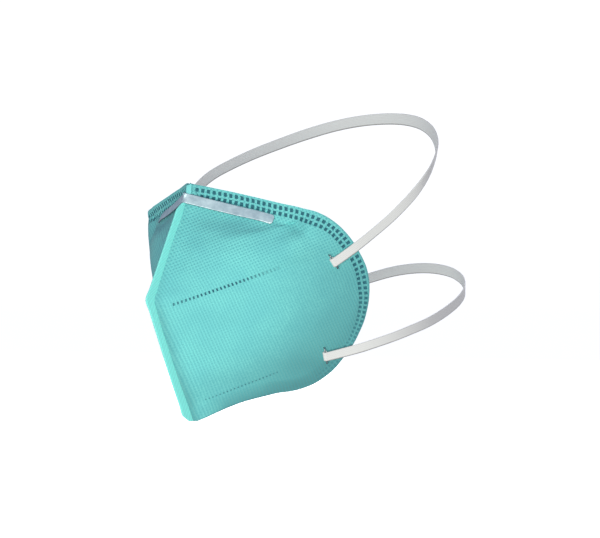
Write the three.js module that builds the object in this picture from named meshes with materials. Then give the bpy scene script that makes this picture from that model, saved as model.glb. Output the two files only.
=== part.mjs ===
// A disposable vertical fold-flat respirator, as worn: two hollow cloth panels welded along an upright
// front seam, an aluminium nose clip bent over the bridge, and two flat elastic headbands, each stapled to
// both cheeks. Millimetres, +Z up, the front faces -Y and the wearer's left is +X. The origin lies in the
// middle of the face opening. Everything but the folded top of the seam flange is mirrored in the plane x = 0.
import * as THREE from "three";

// ---- Driving dimensions ----
const CLOTH = 1.4; // thickness of a panel's cloth
const FLANGE = 1.2; // thickness of the welded flange down the front
const GAP = 0.3; // air left between pieces that touch
const BAND = 0.9; // thickness of the elastic
const FOLD_AIR = 1.6 * GAP; // air between a staple's crown and the elastic folded round it
const CLIP = {
  width: 5.8,
  thick: 0.9,
  lift: 1.5 * GAP, // air between the clip and the cloth
  bridge: { y: -7.5, z: 58.5 }, // its middle where it crosses the ridge
  end: { y: 19.6, z: 46.3 }, // its middle at its end, seen from the side
  corner: 1.7, // radius of the corners of its ends
};
const STAPLE = {
  wire: 0.35, // radius of the wire
  span: 8.6, // leg to leg
  lap: 6, // length of elastic folded under
  shoulder: 0.85, // share of the half span where the crown starts to turn down
  bend: 0.6, // share of its height where the turn ends
};
const GRID = { along: 44, across: 20 }; // cells of a panel from bridge to chin and from seam to rim

// The crease where a panel leaves the front seam, from the bridge of the nose over the tip to the chin.
// width: how far the flange stands out from the crease. fold: 0 where it stands straight ahead, 1 where it lies
// flat on the left panel, as it does from the clip upwards.
const SEAM = [
  { y: -2.0, z: 66.4, width: 3.4, fold: 1 },
  { y: -2.6, z: 62.0, width: 3.8, fold: 1 },
  { y: -3.9, z: 55.0, width: 4.4, fold: 1 },
  { y: -4.6, z: 53.2, width: 5.0, fold: 0.3 },
  { y: -5.3, z: 51.4, width: 5.3, fold: 0 },
  { y: -6.8, z: 47.2, width: 5.5, fold: 0 },
  { y: -12.3, z: 34.2, width: 5.9, fold: 0 },
  { y: -18.6, z: 19.2, width: 6.4, fold: 0 },
  { y: -22.6, z: 9.6, width: 6.8, fold: 0 },
  { y: -25.0, z: 3.0, width: 7.4, fold: 0 },
  { y: -22.6, z: -4.0, width: 7.0, fold: 0 },
  { y: -15.8, z: -20.4, width: 7.2, fold: 0 },
  { y: -6.6, z: -42.0, width: 7.5, fold: 0 },
  { y: 0.4, z: -56.6, width: 8.1, fold: 0 },
  { y: 2.8, z: -62.2, width: 8.2, fold: 0 },
  { y: 4.2, z: -65.6, width: 5.0, fold: 0 },
];

// The left half of the rim round the face, from the bridge of the nose over the cheek to the chin.
const RIM = [
  { x: 1.4, y: -1.9, z: 66.9 },
  { x: 12.0, y: 3.2, z: 64.8 },
  { x: 24.3, y: 8.4, z: 62.3 },
  { x: 36.7, y: 13.4, z: 59.7 },
  { x: 49.0, y: 18.4, z: 57.0 },
  { x: 60.8, y: 23.6, z: 54.3 },
  { x: 70.2, y: 29.4, z: 51.0 },
  { x: 75.2, y: 37.8, z: 45.6 },
  { x: 77.6, y: 46.6, z: 37.8 },
  { x: 78.1, y: 54.6, z: 28.6 },
  { x: 78.4, y: 60.8, z: 17.6 },
  { x: 77.8, y: 62.6, z: 6.0 },
  { x: 75.4, y: 62.2, z: -6.4 },
  { x: 71.2, y: 59.4, z: -18.6 },
  { x: 65.6, y: 54.6, z: -29.8 },
  { x: 58.2, y: 48.6, z: -39.9 },
  { x: 48.6, y: 40.6, z: -46.6 },
  { x: 36.6, y: 29.0, z: -50.0 },
  { x: 23.6, y: 16.8, z: -54.7 },
  { x: 12.9, y: 9.6, z: -60.0 },
  { x: 2.0, y: 5.2, z: -65.6 },
];

// How a panel runs from seam to rim. at: fraction of the way from bridge to chin. leave and arrive: heading in
// plan at the seam and at the rim, degrees from straight back. near and far: share of the chord that each
// heading holds.
const FALL = [
  { at: 0.0, leave: 64, arrive: 64, near: 0.3, far: 0.3 },
  { at: 0.12, leave: 66, arrive: 60, near: 0.3, far: 0.3 },
  { at: 0.25, leave: 64, arrive: 48, near: 0.26, far: 0.34 },
  { at: 0.36, leave: 58, arrive: 28, near: 0.2, far: 0.4 },
  { at: 0.5, leave: 46, arrive: 20, near: 0.14, far: 0.46 },
  { at: 0.65, leave: 44, arrive: 26, near: 0.14, far: 0.44 },
  { at: 0.8, leave: 46, arrive: 40, near: 0.16, far: 0.36 },
  { at: 0.92, leave: 52, arrive: 50, near: 0.2, far: 0.3 },
  { at: 1.0, leave: 58, arrive: 56, near: 0.3, far: 0.3 },
];

// Dents pressed into a panel: each is a valley from (y, z) to (y, z) seen from the side, deepest at the share
// "peak" of its length. It is flat for some way to both sides of its line, and then rises over the widths given
// for above and below.
const DENTS = [
  { name: "over tip", from: [-20, 3], to: [44, 29], peak: 0.5, depth: 0.9, flat: 0, above: 4.5, below: 4.5 },
  { name: "clip", from: [-5, 59.6], to: [28, 41.5], peak: 0.72, depth: 6.4, flat: 2.6, above: 5, below: 13 },
  { name: "clip end", from: [13, 47], to: [31, 33.5], peak: 0.4, depth: 1.3, flat: 0, above: 1.8, below: 3.4 },
];

// The left half of each headband's middle line, from its staple on the cheek round to the back of the head.
// lean: how far its face tips up at that point, degrees from upright. width: across the elastic.
const UPPER_BAND = [
  { x: 79.6, y: 49.4, z: 31.6, lean: 2, width: 5.2 },
  { x: 84.2, y: 61.4, z: 40.9, lean: 4, width: 5.2 },
  { x: 86.8, y: 69.0, z: 47.0, lean: 6, width: 5.4 },
  { x: 89.2, y: 75.8, z: 53.2, lean: 8, width: 5.6 },
  { x: 91.0, y: 83.4, z: 60.2, lean: 10, width: 5.8 },
  { x: 91.6, y: 91.0, z: 67.4, lean: 12, width: 6.0 },
  { x: 89.4, y: 99.4, z: 73.9, lean: 12, width: 6.2 },
  { x: 84.0, y: 109.2, z: 80.0, lean: 12, width: 6.4 },
  { x: 75.8, y: 120.8, z: 86.6, lean: 10, width: 6.6 },
  { x: 64.0, y: 132.8, z: 93.2, lean: 10, width: 6.8 },
  { x: 50.6, y: 143.0, z: 99.0, lean: 8, width: 7.0 },
  { x: 34.6, y: 151.2, z: 103.8, lean: 8, width: 7.0 },
  { x: 17.6, y: 156.0, z: 106.5, lean: 8, width: 7.0 },
  { x: 0.0, y: 157.6, z: 107.3, lean: 8, width: 7.0 },
];
const LOWER_BAND = [
  { x: 72.6, y: 58.4, z: -24.6, lean: 0, width: 5.2 },
  { x: 77.4, y: 68.0, z: -21.6, lean: 0, width: 5.2 },
  { x: 80.9, y: 80.0, z: -18.2, lean: 0, width: 5.3 },
  { x: 81.9, y: 93.0, z: -14.8, lean: 0, width: 5.5 },
  { x: 80.6, y: 106.0, z: -12.0, lean: 0, width: 5.7 },
  { x: 76.4, y: 121.0, z: -8.9, lean: 0, width: 5.9 },
  { x: 69.4, y: 139.4, z: -5.0, lean: 0, width: 6.1 },
  { x: 60.4, y: 158.6, z: -0.6, lean: 0, width: 6.3 },
  { x: 50.4, y: 174.6, z: 4.0, lean: 0, width: 6.4 },
  { x: 38.6, y: 186.6, z: 9.4, lean: 0, width: 6.4 },
  { x: 25.0, y: 193.4, z: 13.6, lean: 0, width: 6.4 },
  { x: 12.0, y: 196.2, z: 15.6, lean: 0, width: 6.4 },
  { x: 0.0, y: 197.0, z: 16.2, lean: 0, width: 6.4 },
];
// Where the staples sit on the left panel, seen from the side.
const STAPLES = { upper: { y: 41.0, z: 24.0 }, lower: { y: 45.2, z: -28.0 } };

// ---- Helpers ----
const radians = THREE.MathUtils.degToRad;
const point = (row) => new THREE.Vector3(row.x ?? 0, row.y, row.z);
const heading = (degrees) => new THREE.Vector3(Math.sin(radians(degrees)), Math.cos(radians(degrees)), 0);
const mirrored = (v) => new THREE.Vector3(-v.x, v.y, v.z);

// A column of a table between its rows, as a smooth curve through them. key names the column that t runs along.
function column(rows, key, name, t) {
  let i = 0;
  while (i < rows.length - 2 && rows[i + 1][key] < t) i += 1;
  const slope = (j) => {
    const before = rows[Math.max(j - 1, 0)];
    const after = rows[Math.min(j + 1, rows.length - 1)];
    return (after[name] - before[name]) / (after[key] - before[key]);
  };
  const span = rows[i + 1][key] - rows[i][key];
  const s = THREE.MathUtils.clamp((t - rows[i][key]) / span, 0, 1);
  const end = s * s * (3 - 2 * s);
  const fromSlope = s * (1 - s) * (1 - s) * span * slope(i);
  const toSlope = s * s * (s - 1) * span * slope(i + 1);
  return rows[i][name] * (1 - end) + rows[i + 1][name] * end + fromSlope + toSlope;
}

// A smooth line through the rows of a table: t is the share of its length, and value() reads a column there.
function lineThrough(rows) {
  const curve = new THREE.CatmullRomCurve3(rows.map(point), false, "centripetal");
  const numbered = rows.map((row, number) => ({ ...row, number }));
  return {
    point: (t) => curve.getPointAt(t),
    value: (name, t) => column(numbered, "number", name, curve.getUtoTmapping(t) * (rows.length - 1)),
  };
}

// A closed geometry from points and triangles, with its faces turned outwards.
function closedGeometry(points, triangles) {
  let volume = 0;
  for (let i = 0; i < triangles.length; i += 3) {
    const [a, b, c] = [points[triangles[i]], points[triangles[i + 1]], points[triangles[i + 2]]];
    volume += a.dot(b.clone().cross(c));
  }
  if (volume < 0) triangles.reverse();
  const geometry = new THREE.BufferGeometry().setFromPoints(points);
  geometry.setIndex(triangles);
  geometry.computeVertexNormals();
  return geometry;
}

// ---- The panel's surface ----
const seam = lineThrough(SEAM);
const rim = lineThrough(RIM);

// The smooth outer face without its dents. u runs from bridge to chin, v from seam to rim. Each section is a
// Bezier curve that leaves the seam and reaches the rim on the headings of the table.
function smoothFace(u, v) {
  const fall = (name) => column(FALL, "at", name, u);
  const start = seam.point(u).setX(FLANGE / 2 + GAP);
  const end = rim.point(u);
  const chord = Math.hypot(end.x - start.x, end.y - start.y);
  const nearShare = fall("near");
  const farShare = fall("far");
  const leaving = start.clone().addScaledVector(heading(fall("leave")), chord * nearShare);
  const arriving = end.clone().addScaledVector(heading(fall("arrive")), -chord * farShare);
  leaving.z = THREE.MathUtils.lerp(start.z, end.z, nearShare);
  arriving.z = THREE.MathUtils.lerp(end.z, start.z, farShare);
  return new THREE.CubicBezierCurve3(start, leaving, arriving, end).getPoint(v);
}

const NORMAL_STEP = 0.004; // how far apart in u and v the points for a normal lie

function faceNormal(u, v) {
  const step = NORMAL_STEP;
  const [u0, u1] = [Math.max(u - step, 0), Math.min(u + step, 1)];
  const [v0, v1] = [Math.max(v - step, 0), Math.min(v + step, 1)];
  const down = smoothFace(u1, v).sub(smoothFace(u0, v));
  const back = smoothFace(u, v1).sub(smoothFace(u, v0));
  return down.cross(back).normalize();
}

// How far back the crease lies at a height, on the upper half of the seam.
function seamSide(z) {
  const below = SEAM.findIndex((row) => row.z <= z);
  const [high, low] = [SEAM[below - 1], SEAM[below]];
  return THREE.MathUtils.mapLinear(z, low.z, high.z, low.y, high.y);
}

// How deep the dents are at a place seen from the side.
function dentDepth(p) {
  let depth = 0;
  for (const dent of DENTS) {
    const [fromY, fromZ] = dent.from;
    const [runY, runZ] = [dent.to[0] - fromY, dent.to[1] - fromZ];
    const length = Math.hypot(runY, runZ);
    const share = ((p.y - fromY) * runY + (p.z - fromZ) * runZ) / length ** 2;
    const off = ((p.y - fromY) * runZ - (p.z - fromZ) * runY) / length;
    if (share <= 0 || share >= 1) continue;
    const rise = share / dent.peak;
    const fall = (1 - share) / (1 - dent.peak);
    const along = share < dent.peak ? 1.5 * rise - 0.5 * rise ** 3 : fall * fall * (3 - 2 * fall);
    const onSlope = Math.max(Math.abs(off) - dent.flat, 0) / (off > 0 ? dent.below : dent.above);
    depth += dent.depth * along * Math.exp(-(onSlope ** 2));
  }
  return depth;
}

function outerFace(u, v) {
  const p = smoothFace(u, v);
  return p.addScaledVector(faceNormal(u, v), -dentDepth(p));
}

const innerFace = (u, v) => outerFace(u, v).addScaledVector(faceNormal(u, v), -CLOTH);

// The share of the way from seam to rim where the inner face has come clear of the other panel.
function innerStart(u) {
  let v = 0;
  while (innerFace(u, v).x < GAP / 2) v += 0.001;
  return v;
}

// The u and v of the outer face at a place seen from the side, found by halving the step round the best guess.
function placeOnFace(target) {
  let best = { u: 0.4, v: 0.7, miss: Infinity };
  for (let step = 0.1; step > 2e-5; step *= 0.75) {
    const from = best;
    for (const du of [-step, 0, step]) {
      for (const dv of [-step, 0, step]) {
        const p = outerFace(from.u + du, from.v + dv);
        const miss = Math.hypot(p.y - target.y, p.z - target.z);
        if (miss < best.miss) best = { u: from.u + du, v: from.v + dv, miss };
      }
    }
  }
  return { at: outerFace(best.u, best.v), normal: faceNormal(best.u, best.v) };
}

// ---- Pieces ----

// One panel: the outer face, the inner face a cloth's thickness inside it, and the four edges between them.
function panelGeometry() {
  const points = [];
  const triangles = [];
  const [rows, columns] = [GRID.along + 1, GRID.across + 1];
  for (let i = 0; i < rows; i += 1) {
    const u = i / GRID.along;
    const first = innerStart(u);
    for (let j = 0; j < columns; j += 1) {
      const v = j / GRID.across;
      points.push(outerFace(u, v), innerFace(u, first + (1 - first) * v));
    }
  }
  const outer = (i, j) => 2 * (i * columns + j);
  const inner = (i, j) => outer(i, j) + 1;
  const quad = (a, b, c, d) => triangles.push(a, b, c, a, c, d);
  for (let i = 0; i < GRID.along; i += 1) {
    for (let j = 0; j < GRID.across; j += 1) {
      quad(outer(i, j), outer(i + 1, j), outer(i + 1, j + 1), outer(i, j + 1));
      quad(inner(i, j), inner(i, j + 1), inner(i + 1, j + 1), inner(i + 1, j));
    }
    quad(outer(i, 0), inner(i, 0), inner(i + 1, 0), outer(i + 1, 0));
    quad(outer(i + 1, columns - 1), inner(i + 1, columns - 1), inner(i, columns - 1), outer(i, columns - 1));
  }
  for (let j = 0; j < GRID.across; j += 1) {
    quad(outer(0, j), outer(0, j + 1), inner(0, j + 1), inner(0, j));
    quad(outer(rows - 1, j + 1), outer(rows - 1, j), inner(rows - 1, j), inner(rows - 1, j + 1));
  }
  return closedGeometry(points, triangles);
}

// A flat strip swept through stations, each with its middle, the unit vector across it, the unit vector out of
// its face, its width and its thickness.
function stripGeometry(stations) {
  const points = [];
  const triangles = [];
  for (const { middle, across, out, width, thick } of stations) {
    for (const [a, o] of [[-1, -1], [1, -1], [1, 1], [-1, 1]]) {
      const corner = middle.clone().addScaledVector(across, (a * width) / 2);
      points.push(corner.addScaledVector(out, (o * thick) / 2));
    }
  }
  const last = 4 * (stations.length - 1);
  for (let i = 0; i < last; i += 4) {
    for (let k = 0; k < 4; k += 1) {
      const [a, b] = [i + k, i + ((k + 1) % 4)];
      triangles.push(a, b, b + 4, a, b + 4, a + 4);
    }
  }
  triangles.push(0, 2, 1, 0, 3, 2, last, last + 1, last + 2, last, last + 2, last + 3);
  return closedGeometry(points, triangles);
}

// Stations along a smooth line through controls, with the vector across squared to the line's direction.
function stationsThrough(controls, thick, perControl) {
  const curve = new THREE.CatmullRomCurve3(controls.map((c) => c.middle), false, "centripetal");
  const count = (controls.length - 1) * perControl;
  return Array.from({ length: count + 1 }, (_, k) => {
    const i = Math.min(Math.floor(k / perControl), controls.length - 2);
    const share = k / perControl - i;
    const tangent = curve.getTangent(k / count);
    const across = controls[i].across.clone().lerp(controls[i + 1].across, share);
    across.addScaledVector(tangent, -across.dot(tangent)).normalize();
    const width = THREE.MathUtils.lerp(controls[i].width, controls[i + 1].width, share);
    return { middle: curve.getPoint(k / count), across, out: across.clone().cross(tangent), width, thick };
  });
}

// The left half of a symmetrical strip's controls, which end on the middle plane, and their mirror images.
function bothSides(half) {
  const other = half.slice(0, -1).reverse();
  return [...half, ...other.map((c) => ({ ...c, middle: mirrored(c.middle), across: mirrored(c.across) }))];
}

// The welded flange: a flat strip from the crease outwards, upright down the front and laid over to the left
// from the clip upwards.
function flangeGeometry() {
  const steps = 48;
  const stations = Array.from({ length: steps + 1 }, (_, k) => {
    const t = k / steps;
    const [width, fold] = [seam.value("width", t), THREE.MathUtils.clamp(seam.value("fold", t), 0, 1)];
    const crease = outerFace(t, 0);
    const onFace = outerFace(t, 2 / GRID.across).sub(crease).normalize();
    const turned = radians(180 - fold * (180 - column(FALL, "at", "leave", t)));
    const across = new THREE.Vector3(Math.sin(turned), Math.cos(turned), onFace.z * fold).normalize();
    const down = seam.point(Math.min(t + 0.01, 1)).sub(seam.point(Math.max(t - 0.01, 0)));
    const out = across.clone().cross(down).normalize();
    const laid = crease.addScaledVector(faceNormal(t, 0), 2 * GAP + FLANGE / 2);
    laid.addScaledVector(onFace, -FLANGE / 2 - GAP);
    const root = seam.point(t).lerp(laid, fold);
    return { middle: root.addScaledVector(across, width / 2), across, out, width, thick: FLANGE };
  });
  return stripGeometry(stations);
}

// The nose clip: a strip with rounded corners. Seen from the side it runs straight from the ridge to its end; it
// follows both panels and rides over the flange, from which it comes down evenly to its ends.
function clipGeometry() {
  const half = [];
  const ridge = { y: seamSide(CLIP.bridge.z), z: CLIP.bridge.z };
  for (const share of [1, 5 / 6, 4 / 6, 3 / 6, 2 / 6, 1 / 6, 1 / 12]) {
    const y = THREE.MathUtils.lerp(ridge.y, CLIP.end.y, share);
    const z = THREE.MathUtils.lerp(ridge.z, CLIP.end.z, share);
    const { at, normal } = placeOnFace({ y, z });
    const ride = (FLANGE + GAP) * Math.min(1.2 * (1 - share), 1);
    const middle = at.addScaledVector(normal, CLIP.lift + CLIP.thick / 2 + ride);
    const across = new THREE.Vector3(0, 0, 1).projectOnPlane(normal).normalize();
    half.push({ middle, across, width: CLIP.width });
  }
  const bridge = new THREE.Vector3(0, CLIP.bridge.y, CLIP.bridge.z);
  half.push({ middle: bridge, across: new THREE.Vector3(0, 0, 1), width: CLIP.width });
  const stations = stationsThrough(bothSides(half), CLIP.thick, 5);
  const [first, last] = [stations[0].middle.clone(), stations.at(-1).middle.clone()];
  for (const station of stations) {
    const toEnd = Math.min(station.middle.distanceTo(first), station.middle.distanceTo(last));
    const short = Math.max(1 - toEnd / CLIP.corner, 0);
    station.width = CLIP.width - 2 * CLIP.corner * (1 - Math.sqrt(1 - short * short));
  }
  return stripGeometry(stations);
}

// Where a headband is stapled: its place on the left panel, and the frame of the staple there. along points
// the way the band leaves, across runs from leg to leg, out is the panel's normal.
function stapleFrame(staple, band) {
  const { at, normal: out } = placeOnFace(staple);
  const along = point(band[0]).sub(at);
  along.addScaledVector(out, -along.dot(out)).normalize();
  return { at, out, along, across: out.clone().cross(along) };
}

// A headband: its end is folded round the staple's crown and lies under itself, and from there it follows the
// table round the head to the other cheek.
function bandGeometry(staple, band) {
  const { at, out, along, across } = stapleFrame(staple, band);
  const turn = STAPLE.wire + FOLD_AIR + BAND / 2;
  const low = GAP + BAND / 2;
  const place = (back, up) => at.clone().addScaledVector(along, back).addScaledVector(out, up);
  const width = band[0].width;
  const folded = [place(STAPLE.lap, low), place(STAPLE.lap / 2, low), place(0, low)];
  for (const angle of [-45, 0, 45]) {
    const [back, up] = [-Math.cos(radians(angle)) * turn, Math.sin(radians(angle)) * turn];
    folded.push(place(back, low + turn + up));
  }
  folded.push(place(0, low + 2 * turn), place(STAPLE.lap / 2, low + 2 * turn));
  const half = folded.map((middle) => ({ middle, across, width }));
  for (let i = 0; i < band.length; i += 1) {
    const ahead = point(band[Math.min(i + 1, band.length - 1)]);
    const way = ahead.sub(point(band[Math.max(i - 1, 0)]));
    if (i === band.length - 1) way.set(-1, 0, 0);
    const upright = new THREE.Vector3(0, 0, 1).projectOnPlane(way).normalize();
    upright.applyAxisAngle(way.normalize(), radians(band[i].lean));
    half.push({ middle: point(band[i]), across: upright, width: band[i].width });
  }
  for (const control of half) if (control.across.dot(half.at(-1).across) < 0) control.across.negate();
  return stripGeometry(stationsThrough(bothSides(half), BAND, 3));
}

// A staple: a round wire whose crown passes through the band's fold, with a leg down to the cloth on each side.
function stapleGeometry(staple, band) {
  const { at, out, across } = stapleFrame(staple, band);
  const crown = GAP + BAND + GAP + STAPLE.wire;
  const half = STAPLE.span / 2;
  const place = (side, up) => at.clone().addScaledVector(across, side * half).addScaledVector(out, up);
  const { shoulder, bend } = STAPLE;
  const leg = [place(1, GAP), place(1, crown * bend), place(shoulder, crown)];
  const otherLeg = [place(-shoulder, crown), place(-1, crown * bend), place(-1, GAP)];
  const path = new THREE.CatmullRomCurve3([...leg, place(0, crown), ...otherLeg], false, "centripetal");
  const corner = (i) => new THREE.Vector2(STAPLE.wire, 0).rotateAround(new THREE.Vector2(), radians(60 * i));
  const section = new THREE.Shape([0, 1, 2, 3, 4, 5].map(corner));
  return new THREE.ExtrudeGeometry(section, { steps: 16, extrudePath: path });
}

// ---- The object ----
const cloth = new THREE.MeshStandardMaterial({ color: 0x70cdcd, roughness: 0.9, side: THREE.DoubleSide });
const weld = new THREE.MeshStandardMaterial({ color: 0x86e0dc, roughness: 0.75 });
const aluminium = new THREE.MeshStandardMaterial({ color: 0xa9b9cc, roughness: 0.4, metalness: 0.9 });
const elastic = new THREE.MeshStandardMaterial({ color: 0xd6d6d6, roughness: 0.85 });
const steel = new THREE.MeshStandardMaterial({ color: 0x8a9299, roughness: 0.3, metalness: 1 });

function named(name, geometry, material) {
  const mesh = new THREE.Mesh(geometry, material);
  mesh.name = name;
  return mesh;
}

const respirator = new THREE.Group();
respirator.add(named("front_seam", flangeGeometry(), weld));
respirator.add(named("nose_clip", clipGeometry(), aluminium));
respirator.add(named("upper_headband", bandGeometry(STAPLES.upper, UPPER_BAND), elastic));
respirator.add(named("lower_headband", bandGeometry(STAPLES.lower, LOWER_BAND), elastic));
for (const side of ["left", "right"]) {
  const half = new THREE.Group();
  if (side === "right") half.scale.x = -1;
  half.add(named(`${side}_panel`, panelGeometry(), cloth));
  half.add(named(`staple_upper_${side}`, stapleGeometry(STAPLES.upper, UPPER_BAND), steel));
  half.add(named(`staple_lower_${side}`, stapleGeometry(STAPLES.lower, LOWER_BAND), steel));
  respirator.add(half);
}

export default respirator;
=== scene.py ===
"""Looks of a disposable fold-flat respirator, held up in its worn form: two teal cloth panels with weld
marks, the pressed flange down the front, an aluminium nose clip, two elastic headbands and their staples.
Tables and sizes are in millimetres; meshes are made in metres, in the frame of the solids."""

import bpy
import numpy as np
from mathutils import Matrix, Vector


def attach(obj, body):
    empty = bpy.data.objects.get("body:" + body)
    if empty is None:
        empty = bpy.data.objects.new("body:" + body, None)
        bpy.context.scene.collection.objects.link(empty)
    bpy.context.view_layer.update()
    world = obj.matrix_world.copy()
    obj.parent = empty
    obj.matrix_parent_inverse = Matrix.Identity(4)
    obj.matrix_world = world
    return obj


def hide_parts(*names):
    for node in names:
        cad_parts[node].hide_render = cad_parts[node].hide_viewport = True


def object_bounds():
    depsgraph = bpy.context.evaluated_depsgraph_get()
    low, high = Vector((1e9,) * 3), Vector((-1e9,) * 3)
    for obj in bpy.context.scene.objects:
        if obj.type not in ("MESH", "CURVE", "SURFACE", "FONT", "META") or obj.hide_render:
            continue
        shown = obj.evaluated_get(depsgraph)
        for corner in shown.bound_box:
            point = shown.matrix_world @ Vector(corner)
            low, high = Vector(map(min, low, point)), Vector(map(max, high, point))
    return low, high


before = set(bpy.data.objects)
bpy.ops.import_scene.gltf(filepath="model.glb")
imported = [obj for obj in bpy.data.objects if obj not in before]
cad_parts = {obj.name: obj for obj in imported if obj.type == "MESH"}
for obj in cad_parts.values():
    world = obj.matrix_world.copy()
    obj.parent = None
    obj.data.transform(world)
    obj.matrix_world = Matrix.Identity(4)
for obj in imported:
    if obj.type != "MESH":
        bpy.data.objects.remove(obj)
cad_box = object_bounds()

# ---- Driving sizes, in millimetres ----
MM = 0.001
CLOTH = 1.4  # thickness of a panel's cloth
FLANGE = 1.2  # thickness of the welded flange down the front
FLANGE_LAID = 0.7  # its thickness where it is folded over and pressed flat
FLANGE_TOP = 0.005  # share of the seam's length that it leaves free at the top
FLANGE_LEAN = 6.0  # how far it leans to the right below the clip, in degrees
PANEL_START = FLANGE / 2 + 0.02  # how far beside the middle plane a panel starts
# How a panel runs out onto the flange, on top and below: its crease is drawn ahead, fading over a reach.
FILLET = {"ahead": (1.8, 2.8), "reach": (3.0, 4.2)}
LOWER_PART = (0.45, 0.55)  # shares of the way from bridge to chin between which top turns into below
# Soft valley beside the lower crease; held are the shares where it starts, is full, starts to fade and ends.
VALLEY = {"depth": 0.5, "at": 7.0, "wide": 3.5, "held": (0.55, 0.67, 0.89, 0.97)}
GAP = 0.3  # air left between pieces that touch
BAND = 0.9  # thickness of the elastic
FOLD_AIR = 0.15  # air between a staple's crown and the elastic folded round it
CLIP = {"width": 5.8, "thick": 0.9, "lift": 1.5 * GAP, "corner": 1.7, "places": 6, "steps": 220}
CLIP_RIDE = 1.2  # it lies fully on the flange at the share 1 / 1.2 of the way from its end to the ridge
CLIP_RIDGE_Z = 58.5  # height of the clip's middle where it crosses the ridge
CLIP_TURN = 1.0  # how far beside the middle plane it starts to turn round the ridge
CLIP_END = (19.6, 46.3)  # y, z of the middle of its end, seen from the side
STAPLE = {"wire": 0.42, "span": 9.2, "lap": 1.2, "shoulder": 0.85, "bend": 0.6, "around": 14}
STAPLES = {"upper": (41.0, 24.0), "lower": (45.2, -28.0)}  # y, z on the left panel, seen from the side

# The crease where a panel leaves the front seam, from the bridge of the nose over the tip to the chin.
# Columns: y, z, width of the flange, share of its fold onto the left panel.
SEAM = np.array([
    (-2.0, 66.4, 3.4, 1.0), (-2.6, 62.0, 3.6, 1.0), (-3.3, 58.4, 3.0, 1.0), (-3.5, 57.4, 2.2, 1.0),
    (-3.6, 56.6, 1.8, 0.5), (-3.8, 55.6, 3.0, 0.0), (-4.9, 52.5, 5.0, 0.0), (-6.8, 47.2, 5.5, 0.0),
    (-12.3, 34.2, 5.9, 0.0), (-18.6, 19.2, 6.4, 0.0),
    (-22.6, 9.6, 6.8, 0.0), (-25.0, 3.0, 7.4, 0.0), (-22.6, -4.0, 7.0, 0.0), (-15.8, -20.4, 7.2, 0.0),
    (-6.6, -42.0, 7.5, 0.0), (0.4, -56.6, 8.1, 0.0), (2.8, -62.2, 8.2, 0.0), (4.2, -65.6, 5.0, 0.0),
])
# The left half of the rim round the face, from the bridge of the nose over the cheek to the chin: x, y, z.
RIM = np.array([
    (1.4, -1.9, 66.9), (12.0, 3.2, 64.8), (24.3, 8.4, 62.3), (36.7, 13.4, 59.7), (49.0, 18.4, 57.0),
    (60.8, 23.6, 54.3), (70.2, 29.4, 51.0), (75.2, 37.8, 45.6), (77.6, 46.6, 37.8), (78.1, 54.6, 28.6),
    (78.4, 60.8, 17.6), (77.8, 62.6, 6.0), (75.4, 62.2, -6.4), (71.2, 59.4, -18.6), (65.6, 54.6, -29.8),
    (58.2, 48.6, -39.9), (48.6, 40.6, -46.6), (36.6, 29.0, -50.0), (23.6, 16.8, -54.7), (12.9, 9.6, -60.0),
    (2.0, 5.2, -65.6),
])
# How a panel runs from seam to rim. Columns: share of the way from bridge to chin, heading in plan at the
# seam and at the rim in degrees from straight back, and the share of the chord that each heading holds.
FALL = np.array([
    (0.0, 64, 64, 0.3, 0.3), (0.12, 66, 60, 0.3, 0.3), (0.25, 64, 48, 0.26, 0.34), (0.36, 58, 28, 0.2, 0.4),
    (0.5, 46, 20, 0.14, 0.46), (0.65, 44, 26, 0.14, 0.44), (0.8, 46, 40, 0.16, 0.36),
    (0.92, 52, 50, 0.2, 0.3), (1.0, 58, 56, 0.3, 0.3),
])
# Dents pressed into a panel, each a valley seen from the side. Columns: y and z where it starts, y and z
# where it ends, share of its length where it is deepest, depth, half width of its flat floor, and the widths
# over which it rises above and below. The right panel has all but the last one.
DENTS = np.array([
    (-20, 3, 44, 29, 0.5, 0.9, 0.0, 4.5, 4.5),
    (-5, 59.6, 28, 41.5, 0.72, 6.4, 2.6, 5.0, 13.0),
    (13.4, 51.0, 31.4, 33.6, 0.42, 2.9, 0.0, 1.7, 3.2),
])
# The left half of each headband's middle line, from the staple on the cheek to the back of the head.
# Columns: x, y, z, lean of its face in degrees, width.
UPPER_BAND = np.array([
    (79.6, 49.4, 31.6, 2, 5.2), (84.2, 61.4, 40.9, 4, 5.2), (86.8, 69.0, 47.0, 6, 5.4),
    (89.2, 75.8, 53.2, 8, 5.6), (91.0, 83.4, 60.2, 10, 5.8), (91.6, 91.0, 67.4, 12, 6.0),
    (89.4, 99.4, 73.9, 12, 6.2), (84.0, 109.2, 80.0, 12, 6.4), (75.8, 120.8, 86.6, 10, 6.6),
    (64.0, 132.8, 93.2, 10, 6.8), (50.6, 143.0, 99.0, 8, 7.0), (34.6, 151.2, 103.8, 8, 7.0),
    (17.6, 156.0, 106.5, 8, 7.0), (0.0, 157.6, 107.3, 8, 7.0),
])
LOWER_BAND = np.array([
    (72.6, 58.4, -24.6, 0, 5.2), (77.4, 68.0, -21.6, 0, 5.2), (80.9, 80.0, -18.2, 0, 5.3),
    (81.9, 93.0, -14.8, 0, 5.5), (80.6, 106.0, -12.0, 0, 5.7), (76.4, 121.0, -8.9, 0, 5.9),
    (69.4, 139.4, -5.0, 0, 6.1), (60.4, 158.6, -0.6, 0, 6.3), (50.4, 174.6, 4.0, 0, 6.4),
    (38.6, 186.6, 9.4, 0, 6.4), (25.0, 193.4, 13.6, 0, 6.4), (12.0, 196.2, 15.6, 0, 6.4),
    (0.0, 197.0, 16.2, 0, 6.4),
])

# ---- Weld marks and painted shade in the panels ----
# Square pits in two rows along the rim. Their half sizes and soft edges are shares of the step from pit to
# pit along a row, and of the step between the rows across them.
PIT = {"along": 0.24, "across": 0.27, "soft": 0.08, "depth": 0.5}
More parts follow.
